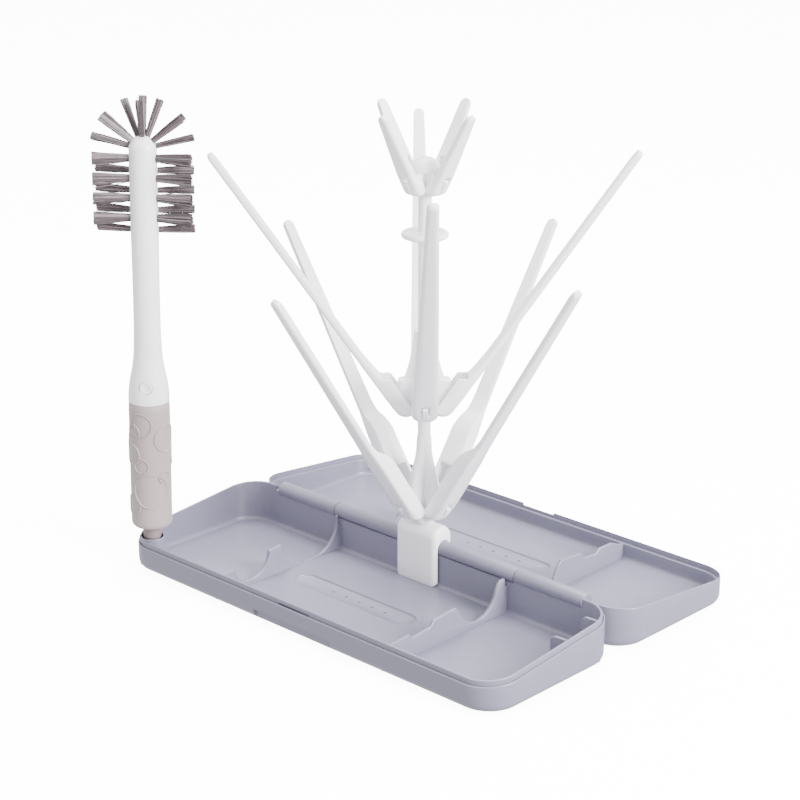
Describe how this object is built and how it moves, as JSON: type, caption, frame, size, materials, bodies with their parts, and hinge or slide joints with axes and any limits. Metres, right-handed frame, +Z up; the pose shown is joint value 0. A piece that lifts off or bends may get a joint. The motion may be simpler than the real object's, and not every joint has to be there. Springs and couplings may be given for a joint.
{
  "type": "bottle drying rack",
  "caption": "Travel bottle drying rack: an open clamshell case carrying a folding rack of spread arms on a mast, with a bottle brush standing in its corner socket.",
  "frame": {"origin": "on the table under the middle of the base tray's underside", "axes": "+X along the case hinge, from the brush end to the other end; +Y from the base tray across the hinge to the lid; +Z up"},
  "size_m": [0.2604, 0.1974, 0.2414],
  "materials": {
    "case_plastic": "satin moulded lavender grey plastic",
    "rack_white": "satin white plastic",
    "brush_white": "satin white plastic",
    "grip_silicone": "matte pinkish grey silicone",
    "bristle_grey": "nylon filament",
    "stub_brown": "matte brown grey plastic",
    "pin_steel": "plain steel pin"
  },
  "bodies": {
    "base": {"base_tray": "case_plastic", "base_cradle_left": "case_plastic", "base_cradle_right": "case_plastic", "handle_clips": "case_plastic", "brush_socket": "case_plastic", "hinge_pin": "pin_steel"},
    "lid": {"lid_tray": "case_plastic", "lid_cradle_left": "case_plastic", "lid_cradle_right": "case_plastic"},
    "rack": {"saddle_clip": "rack_white", "lower_hub": "rack_white", "middle_hub": "rack_white", "crown_hub": "rack_white", "mast_rod": "rack_white", "collar_disc": "rack_white", "lower_pins": "pin_steel", "middle_pins": "pin_steel", "crown_pins": "pin_steel"},
    "brush": {"brush_shaft": "brush_white", "bristles_left": "bristle_grey", "bristles_right": "bristle_grey", "bristles_tip": "bristle_grey", "handle_core": "brush_white", "silicone_grip": "grip_silicone", "socket_stub": "stub_brown"},
    "button": {"release_button": "brush_white"},
    "lower_arm_1_body": {"lower_arm_1": "rack_white"},
    "lower_arm_2_body": {"lower_arm_2": "rack_white"},
    "lower_arm_3_body": {"lower_arm_3": "rack_white"},
    "lower_arm_4_body": {"lower_arm_4": "rack_white"},
    "middle_arm_1_body": {"middle_arm_1": "rack_white"},
    "middle_arm_2_body": {"middle_arm_2": "rack_white"},
    "middle_arm_3_body": {"middle_arm_3": "rack_white"},
    "middle_arm_4_body": {"middle_arm_4": "rack_white"},
    "crown_arm_1_body": {"crown_arm_1": "rack_white"},
    "crown_arm_2_body": {"crown_arm_2": "rack_white"},
    "crown_arm_3_body": {"crown_arm_3": "rack_white"},
    "crown_arm_4_body": {"crown_arm_4": "rack_white"}
  },
  "joints": [
    {"name": "rack_lift", "type": "slide", "parent": "base", "child": "rack", "axis": [0, 0, 1], "range_m": [0, 0.4]},
    {"name": "brush_lift", "type": "slide", "parent": "base", "child": "brush", "axis": [0, 0, 1], "range_m": [0, 0.4]},
    {"name": "lid_hinge", "type": "hinge", "parent": "base", "child": "lid", "pos_m": [0, 0.0455, 0.0215], "axis": [1, 0, 0], "range_deg": [0, 190.6]},
    {"name": "button_press", "type": "slide", "parent": "brush", "child": "button", "axis": [-0.6561, 0.7547, 0], "range_m": [0, 0.0012], "stiffness_N_per_m": 200},
    {"name": "lower_fold_1", "type": "hinge", "parent": "rack", "child": "lower_arm_1_body", "pos_m": [0.0092, 0.0455, 0.042], "axis": [0, -1, 0], "range_deg": [0, 28.5]},
    {"name": "lower_fold_2", "type": "hinge", "parent": "rack", "child": "lower_arm_2_body", "pos_m": [0, 0.0547, 0.042], "axis": [1, 0, 0], "range_deg": [0, 29.3]},
    {"name": "lower_fold_3", "type": "hinge", "parent": "rack", "child": "lower_arm_3_body", "pos_m": [-0.0092, 0.0455, 0.042], "axis": [0, 1, 0], "range_deg": [0, 29.3]},
    {"name": "lower_fold_4", "type": "hinge", "parent": "rack", "child": "lower_arm_4_body", "pos_m": [0, 0.0363, 0.042], "axis": [-1, 0, 0], "range_deg": [0, 30.3]},
    {"name": "middle_fold_1", "type": "hinge", "parent": "rack", "child": "middle_arm_1_body", "pos_m": [0.00651, 0.05201, 0.094], "axis": [0.7071, -0.7071, 0], "range_deg": [0, 34.4]},
    {"name": "middle_fold_2", "type": "hinge", "parent": "rack", "child": "middle_arm_2_body", "pos_m": [-0.00651, 0.05201, 0.094], "axis": [0.7071, 0.7071, 0], "range_deg": [0, 34.4]},
    {"name": "middle_fold_3", "type": "hinge", "parent": "rack", "child": "middle_arm_3_body", "pos_m": [-0.00651, 0.039, 0.094], "axis": [-0.7071, 0.7071, 0], "range_deg": [0, 34.4]},
    {"name": "middle_fold_4", "type": "hinge", "parent": "rack", "child": "middle_arm_4_body", "pos_m": [0.00651, 0.039, 0.094], "axis": [-0.7071, -0.7071, 0], "range_deg": [0, 34.4]},
    {"name": "crown_fold_1", "type": "hinge", "parent": "rack", "child": "crown_arm_1_body", "pos_m": [0.0074, 0.0455, 0.2035], "axis": [0, -1, 0], "range_deg": [0, 28.8]},
    {"name": "crown_fold_2", "type": "hinge", "parent": "rack", "child": "crown_arm_2_body", "pos_m": [0, 0.0529, 0.2035], "axis": [1, 0, 0], "range_deg": [0, 28.8]},
    {"name": "crown_fold_3", "type": "hinge", "parent": "rack", "child": "crown_arm_3_body", "pos_m": [-0.0074, 0.0455, 0.2035], "axis": [0, 1, 0], "range_deg": [0, 28.8]},
    {"name": "crown_fold_4", "type": "hinge", "parent": "rack", "child": "crown_arm_4_body", "pos_m": [0, 0.0381, 0.2035], "axis": [-1, 0, 0], "range_deg": [0, 28.8]}
  ],
  "couplings": [
    {"joint": "lid_hinge", "follows": "rack_lift", "rad_per_m": 8.316},
    {"joint": "brush_lift", "follows": "rack_lift", "ratio": 1}
  ]
}
